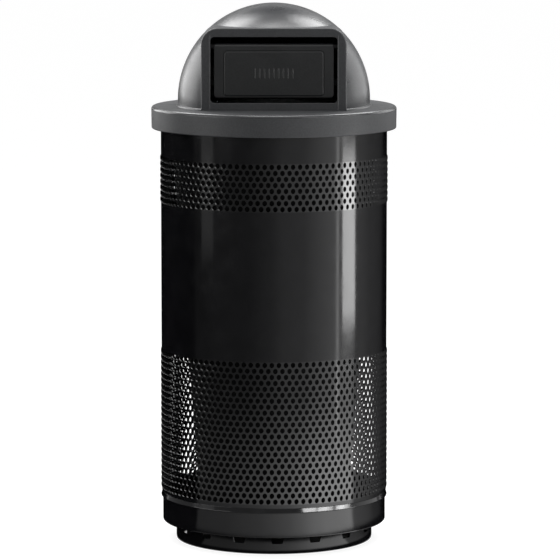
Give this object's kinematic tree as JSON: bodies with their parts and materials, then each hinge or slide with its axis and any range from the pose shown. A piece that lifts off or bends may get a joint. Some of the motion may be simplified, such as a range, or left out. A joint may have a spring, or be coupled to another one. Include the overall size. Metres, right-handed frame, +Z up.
{
  "type": "dome top waste receptacle",
  "caption": "Perforated steel drum bin on a vented ring foot, with a hanging liner and a lift-off dome lid that has a hood and a push door.",
  "frame": {"origin": "centre of the ring foot on the floor", "axes": "+Z up, the push door faces -Y, +X is to the right seen from the front"},
  "size_m": [0.507, 0.507, 1.115],
  "materials": {
    "drum_steel": "gloss",
    "lid_steel": "satin",
    "zinc_steel": "satin",
    "liner_plastic": "matte",
    "nylon": "satin",
    "rubber": "matte"
  },
  "bodies": {
    "base": {"drum": "drum_steel", "rim_hoop": "drum_steel", "base_skirt": "drum_steel", "trim_hoop": "drum_steel", "floor_plate": "drum_steel", "ring_foot": "drum_steel"},
    "inner_bin": {"liner": "liner_plastic"},
    "lid": {"lid_brim": "lid_steel", "lid_ring": "zinc_steel", "dome": "lid_steel", "hood": "lid_steel", "hinge_bracket_left": "zinc_steel", "hinge_bracket_right": "zinc_steel", "hinge_rod": "zinc_steel", "rod_cap_left": "zinc_steel", "rod_cap_right": "zinc_steel", "door_bumper_left": "rubber", "door_bumper_right": "rubber"},
    "push_door": {"door": "lid_steel", "door_bush_left": "nylon", "door_bush_right": "nylon"}
  },
  "joints": [
    {"name": "lid_lift", "type": "slide", "parent": "base", "child": "lid", "axis": [0, 0, 1], "range_m": [0, 1]},
    {"name": "liner_lift", "type": "slide", "parent": "base", "child": "inner_bin", "axis": [0, 0, 1], "range_m": [0, 0.9]},
    {"name": "door_swing", "type": "hinge", "parent": "lid", "child": "push_door", "pos_m": [0, -0.1245, 1.03265], "axis": [1, 0, 0], "range_deg": [0, 75]}
  ],
  "couplings": [
    {"joint": "liner_lift", "follows": "lid_lift", "ratio": 0.9}
  ]
}
